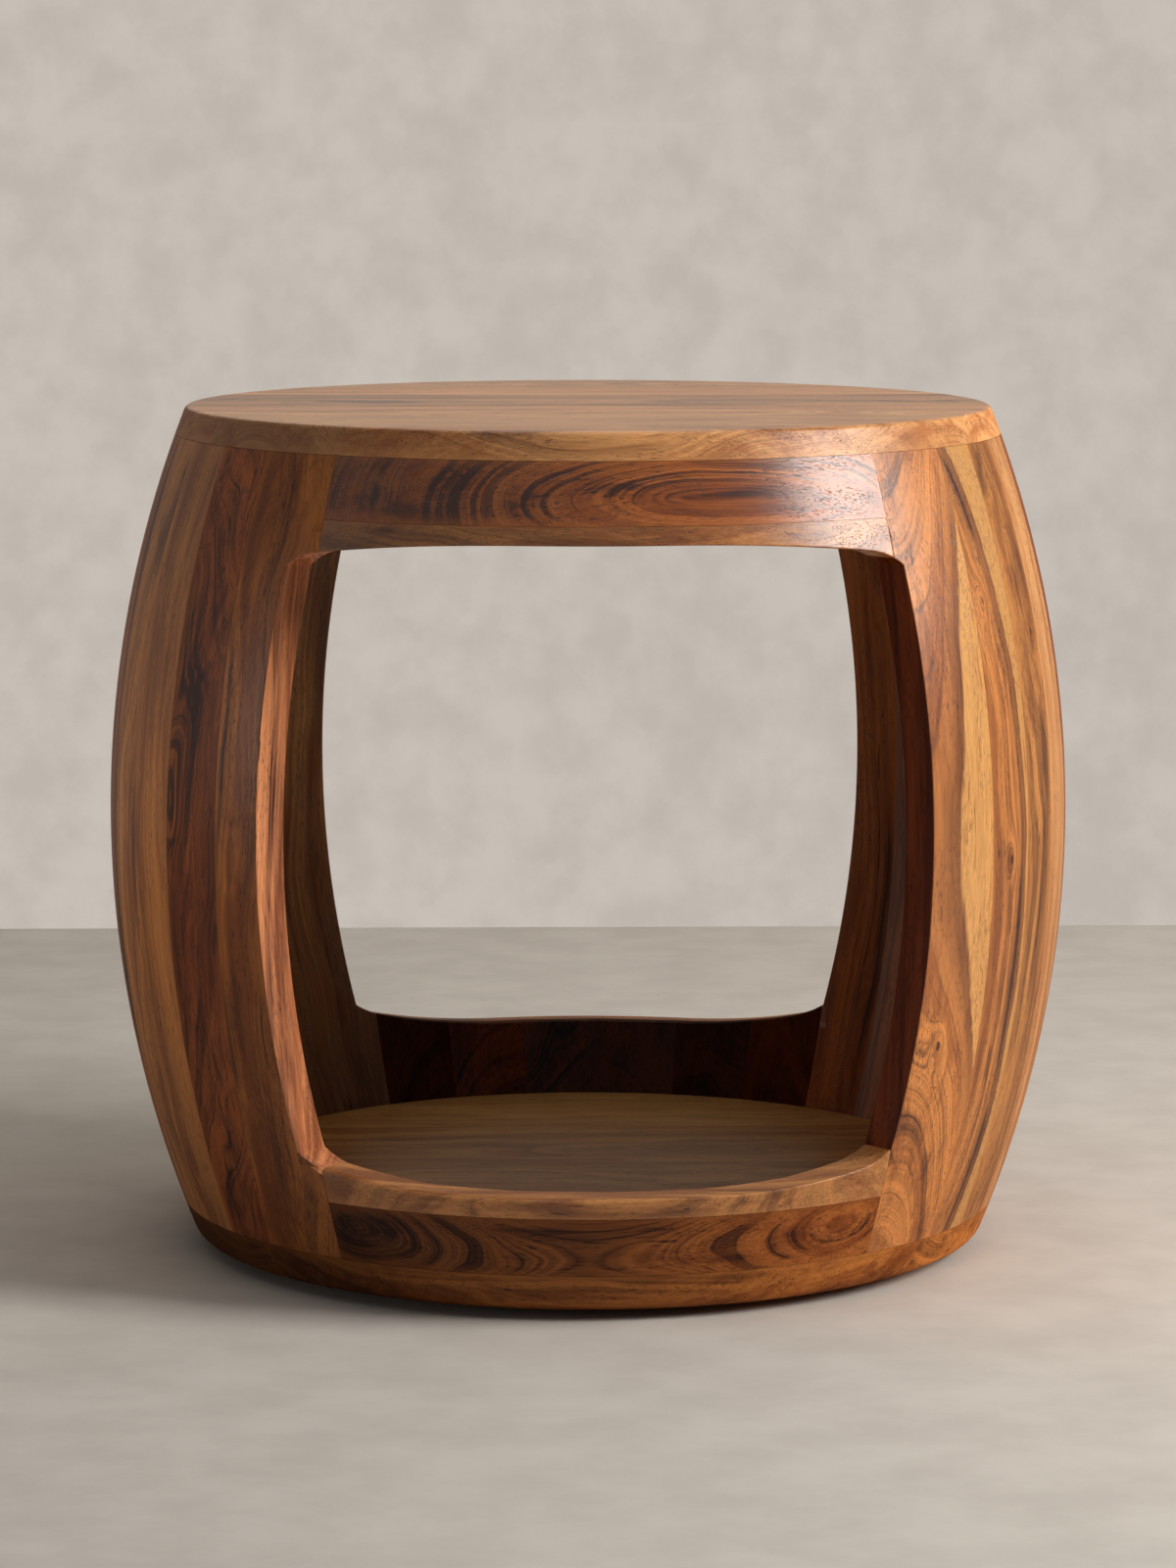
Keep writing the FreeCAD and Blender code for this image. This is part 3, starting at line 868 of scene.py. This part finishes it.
def bay_level(end, place, turn, inset):
    """Height of a rail's edge in the bay."""
    lower = place == "lower"
    line, pick = (lower_line, max) if lower else (upper_line, min)
    offsets = [math.radians(min(abs(turn - corner), FARTHEST_CORNER)) for corner in BAY_CORNERS[end]]
    level = LOWER_FLAT[end] if lower else UPPER_FLAT
    for _ in range(SETTLING):
        radius = outer_radius(level) - inset
        level = pick(line(end, radius * math.sin(offset)) for offset in offsets)
    return level


def make_strip(end, place):
    """Strip on a rail's free edge.

    At the front it covers the lining, and at the back the lining goes on behind it.
    """
    covers = end == "front"
    depth = WALL if covers else BOARD
    low, high = BOARD_LEVELS[place, end]
    seam = high + JOINT if place == "lower" else low - JOINT
    steps = rail_steps(end)
    rings, rounds = [], {}
    for i, (turn, flat) in enumerate(steps):
        edge = bay_level(end, place, turn, 0)
        inner_edge = bay_level(end, place, turn, depth)
        ring = [at(outer_radius(z), turn, z) for z in spread(seam, edge, STRIP_ROWS)]
        for z in spread(inner_edge, seam, STRIP_ROWS):
            ring.append(at(flat_radius(outer_radius(z) - depth, turn, flat), turn, z))
        rings.append(ring)
        if i + 1 < len(steps):
            rounds[i, STRIP_ROWS - 1] = bay_round(end, edge, turn)
            if covers:
                rounds[i, STRIP_ROWS] = INNER_ROUND
    name = f"{place}_{end}_rail_strip"
    settings = look(name, tone="golden", grain="x", pith=(-0.15, 0.1))
    piece(name + "_shaped", loft(rings, rounds), name, SLOTS[name], wood(name, **settings), rounded=True)


def make_board(end, place):
    """Facing board of a rail."""
    low, high = BOARD_LEVELS[place, end]
    levels = spread(low + JOINT, high - JOINT, BOARD_ROWS)
    rings = []
    for turn, flat in rail_steps(end):
        ring = [at(outer_radius(z), turn, z) for z in levels]
        ring += [at(flat_radius(outer_radius(z) - BOARD, turn, flat), turn, z) for z in reversed(levels)]
        rings.append(ring)
    name = f"{place}_{end}_rail_board"
    pith = (-0.21, (low + high) / 2)
    settings = look(name, tone="brown", grain="x", pith=pith, rings=150, wander=0.008, lines=0.9)
    piece(name + "_shaped", loft(rings, {}), name, SLOTS[name], wood(name, **settings))


def make_lining(end, place):
    """Upright blocks behind a rail's board, which at the back reach to the bay."""
    name = f"{place}_{end}_rail_lining"
    reaches = end == "back"
    low, high = BOARD_LEVELS[place, end]
    bay_corner = LINING_ROWS if place == "lower" else 2 * LINING_ROWS - 1
    for block, flat in enumerate(RAIL_FLATS[end]):
        rings, rounds = [], {}
        for i, turn in enumerate(spread(flat[0] + RAIL_GAP, flat[1] - RAIL_GAP, LINING_COLUMNS)):
            ring = []
            for inset in (BOARD + JOINT, WALL):
                bottom, top = low + JOINT, high - JOINT
                if reaches and place == "lower":
                    top = bay_level(end, place, turn, inset)
                elif reaches:
                    bottom = bay_level(end, place, turn, inset)
                column = spread(bottom, top, LINING_ROWS)
                line = [at(flat_radius(outer_radius(z) - inset, turn, flat), turn, z) for z in column]
                ring += line if inset < WALL else line[::-1]
            rings.append(ring)
            if reaches and i + 1 < LINING_COLUMNS:
                rounds[i, bay_corner] = INNER_ROUND
        pith = (draw.uniform(-0.06, 0.06), -0.15)
        settings = look(name, tone="dark", pith=pith, shade=LINING_SHADES[end][block], coat=0.06)
        part = f"{name}_{block + 1}"
        material = wood(part, spin=(flat[0] + flat[1]) / 2, **settings)
        piece(part + "_shaped", loft(rings, rounds), name, SLOTS[name], material, rounded=reaches)


for end in RAIL_ENDS:
    for place in ("lower", "upper"):
        make_strip(end, place)
        make_board(end, place)
        make_lining(end, place)

# Faces of the top that lean more than this have the rim's look
TOP_FACING = 0.8


def make_planks(panel, profile, shares, settings, rim_settings=None, *, pith_level):
    """Planks of a round panel, cut across Y."""
    reach = max(radius for radius, _ in profile)
    for i, (front, back) in enumerate(spans(shares, -reach, reach)):
        mesh = revolve(profile, PANEL_STEPS)
        if i:
            cut(mesh, front + JOINT / 2, True)
        if i < len(shares) - 1:
            cut(mesh, back - JOINT / 2, False)
        bmesh.ops.recalc_face_normals(mesh, faces=mesh.faces)
        name = f"{panel}_plank_{i + 1}"
        pith = (front + back) / 2 + draw.uniform(-0.03, 0.03), pith_level
        made = look(name, grain="x", pith=pith, **settings)
        materials = [wood(name, **made)]
        if rim_settings:
            for face in mesh.faces:
                face.material_index = face.normal.z < TOP_FACING
            made.update(rim_settings)
            materials.append(wood(name + "_rim", **made))
        piece(name + "_shaped", mesh, name, SLOTS[name], *materials)


def rim_line(*levels):
    return [(outer_radius(level), level) for level in levels]


def floor_radius(level):
    """Radius that leaves the floor clear of the inside of every stave."""
    widest = max(abs(end - start) for start, end in LEFT_SPANS + RIGHT_SPANS)
    return flat_radius(outer_radius(level) - WALL, 0, (-widest / 2, widest / 2)) - FLOOR_CLEARANCE


bottom = WALL_TOP + JOINT
rim = rim_line(bottom, (WALL_TOP + TABLE_HEIGHT) / 2, TABLE_HEIGHT)
profile = eased([(0, bottom), *rim, (0, TABLE_HEIGHT)], [0, 0, 0, TOP_ROUND, 0])
# The rim's along makes its left end darker and its right end lighter, painted shade and painted light
top_look, rim_look = dict(tone="tan", ink=0.35, coat=0.85), dict(along=1.0, coat=0.23)
make_planks("top", profile, TOP_SHARES, top_look, rim_look, pith_level=0.43)

top = WALL_BOTTOM - JOINT
rim = rim_line(BASE_BOTTOM, (BASE_BOTTOM + WALL_BOTTOM) / 2 + BASE_RIM_RAISE, top)
profile = eased([(0, BASE_BOTTOM), *rim, (0, top)], [0, BASE_ROUND, 0, 0, 0])
# The base's along makes it darker to the left and lighter to the right, painted shade and painted light
base_look = dict(tone="brown", along=2.8, coat=0.10, shade=(0.92, 1.05, 0.85))
make_planks("base", profile, BASE_SHARES, base_look, pith_level=0.08)

bottom = WALL_BOTTOM + JOINT
rim = [(floor_radius(WALL_BOTTOM), bottom), (floor_radius(FLOOR_TOP), FLOOR_TOP)]
floor_look = dict(tone="tan", shade=(0.93, 1.22, 1.2))
make_planks("floor", [(0, bottom), *rim, (0, FLOOR_TOP)], FLOOR_SHARES, floor_look, pith_level=0.0)


def make_glides():
    """Round pads under the base, as one mesh."""
    whole = bmesh.new()
    outline = [(0, 0), (GLIDE_RADIUS, 0), (GLIDE_RADIUS, GLIDE_HEIGHT), (0, GLIDE_HEIGHT)]
    profile = eased(outline, [0, GLIDE_ROUND, 0, 0])
    for angle in GLIDE_ANGLES:
        part = revolve(profile, GLIDE_STEPS)
        bmesh.ops.translate(part, verts=part.verts, vec=at(GLIDE_CIRCLE, angle, 0))
        data = bpy.data.meshes.new("glide")
        part.to_mesh(data)
        part.free()
        whole.from_mesh(data)
        bpy.data.meshes.remove(data)
    piece("glides_shaped", whole, "glides", SLOTS["glides"], glide_material())


make_glides()

tenon_wood = wood("tenon_wood", "tan", seed=3.0, lines=0.3)
for name in ("top_tenons", "base_tenons", "rail_tenons"):
    node = frame["nodes"][name]
    node.data.materials.clear()
    node.data.materials.append(tenon_wood)

# Stage: pale floor, pale wall behind it, soft light from the right
FLOOR_REACH = 40.0
FLOOR_EVEN_FROM, FLOOR_EVEN_TO = 1.9, 3.5
WALL_REACH = 6.0
WALL_HEIGHT = 4.0
WALL_BEHIND = 1.12
STUDIO = (0.30, 0.285, 0.27, 1)
STUDIO_LIGHT = (0.06, 0.059, 0.058, 1)


def stage_material(name, low, high, scale):
    """Dull material that is clouded between two colours."""
    material, g, shader = new_material(name)
    place = g.add("ShaderNodeTexCoord").outputs["Object"]
    cloud = g.noise(g.scaled(place, scale), 6, 0.6)
    colour = g.mix(g.ramp(cloud, 0.3, 0.7), (*low, 1), (*high, 1))
    g.put(shader.inputs["Base Color"], colour)
    shader.inputs["Roughness"].default_value = 0.85
    shader.inputs["Specular IOR Level"].default_value = 0.2
    return material, g, shader, colour


def sheet(name, corners, material):
    data = bpy.data.meshes.new(name)
    data.from_pydata(corners, [], [(0, 1, 2, 3)])
    obj = bpy.data.objects.new(name, data)
    bpy.context.scene.collection.objects.link(obj)
    data.materials.append(material)


def seen_directly(g):
    """1 where a thing is seen, by itself, in a reflection or through glass, and 0 for the light it gives."""
    path = g.add("ShaderNodeLightPath").outputs
    seen = g.math("MAXIMUM", path["Is Camera Ray"], path["Is Glossy Ray"])
    return g.math("MAXIMUM", seen, path["Is Transmission Ray"])


def mixed_shader(g, share, first, second):
    node = g.add("ShaderNodeMixShader")
    for socket, value in zip(node.inputs, (share, first, second)):
        g.put(socket, value)
    return node.outputs[0]


def glowing(g, shader, share, colour):
    """Shader that is a plain even colour by the given share."""
    glow = g.add("ShaderNodeEmission")
    g.put(glow.inputs["Color"], colour)
    return mixed_shader(g, share, shader.outputs[0], glow.outputs[0])


def floor_material():
    """Pale floor, which far from the object is as even as the studio round it."""
    low, high = (0.66, 0.61, 0.55), (0.74, 0.69, 0.625)
    material, g, shader, _ = stage_material("pale_floor", low, high, scale=16.0)
    away = g.length(g.add("ShaderNodeTexCoord").outputs["Object"])
    share = g.times(seen_directly(g), g.ramp(away, FLOOR_EVEN_FROM, FLOOR_EVEN_TO))
    output = material.node_tree.nodes["Material Output"]
    g.put(output.inputs[0], glowing(g, shader, share, STUDIO))
    return material


def wall_material():
    """Pale plaster, seen at the same level all over, lit as a plain wall and clear from behind."""
    low, high = (0.515, 0.465, 0.415), (0.58, 0.525, 0.47)
    material, g, shader, colour = stage_material("pale_wall", low, high, scale=22.0)
    front = glowing(g, shader, seen_directly(g), colour)
    behind = g.add("ShaderNodeBsdfTransparent").outputs[0]
    backfacing = g.add("ShaderNodeNewGeometry").outputs["Backfacing"]
    output = material.node_tree.nodes["Material Output"]
    g.put(output.inputs[0], mixed_shader(g, backfacing, front, behind))
    return material


floor_corners = [(FLOOR_REACH * x, FLOOR_REACH * y, 0) for x, y in ((-1, -1), (1, -1), (1, 1), (-1, 1))]
wall_corners = [(WALL_REACH * x, WALL_BEHIND, WALL_HEIGHT * z) for x, z in ((-1, 0), (1, 0), (1, 1), (-1, 1))]
sheet("stage_floor", floor_corners, floor_material())
sheet("stage_wall", wall_corners, wall_material())

world = bpy.data.worlds.new("studio")
bpy.context.scene.world = world
world.use_nodes = True
g = Graph(world.node_tree)
g.put(world.node_tree.nodes["Background"].inputs["Color"], g.mix(seen_directly(g), STUDIO_LIGHT, STUDIO))

# Lamps, all turned to the table's middle: place, width and height, watts, colour
MIDDLE = Vector((0, 0, 0.25))
LAMPS = {
    "key": ((2.0, -0.68, 1.28), (1.05, 1.05), 46.0, (1.0, 0.98, 0.95)),
    "side": ((-4.2, -0.97, 0.52), (2.2, 0.9), 15.5, (1.0, 0.98, 0.96)),
    "overhead": ((0.2, -0.4, 3.2), (3.0, 3.0), 26.0, (1.0, 0.99, 0.97)),
    "back": ((-1.3, 2.6, 1.6), (2.0, 2.0), 16.0, (1.0, 0.98, 0.95)),
}
for name, (place, size, watts, colour) in LAMPS.items():
    data = bpy.data.lights.new(name, "AREA")
    data.shape = "RECTANGLE"
    data.size, data.size_y = size
    data.energy = watts
    data.color = colour
    lamp = bpy.data.objects.new(name, data)
    bpy.context.scene.collection.objects.link(lamp)
    lamp.location = place
    lamp.rotation_euler = (MIDDLE - Vector(place)).to_track_quat("-Z", "Y").to_euler()

# Camera at the photograph's place. The table is turned a little against it.
CAMERA_DISTANCE = 3.0867
CAMERA_HEIGHT = 0.6971
CAMERA_TURN = 1.1
CAMERA_PITCH = 82.165
CAMERA_LENS = 119.48
SENSOR_WIDTH = 36.0
camera_data = bpy.data.cameras.new("camera")
camera_data.lens = CAMERA_LENS
camera_data.sensor_width = SENSOR_WIDTH
camera = bpy.data.objects.new("camera", camera_data)
bpy.context.scene.collection.objects.link(camera)
camera.location = at(CAMERA_DISTANCE, -CAMERA_TURN, CAMERA_HEIGHT)
camera.rotation_euler = (math.radians(CAMERA_PITCH), 0, -math.radians(CAMERA_TURN))
bpy.context.scene.camera = camera
bpy.context.scene.view_settings.view_transform = "Standard"
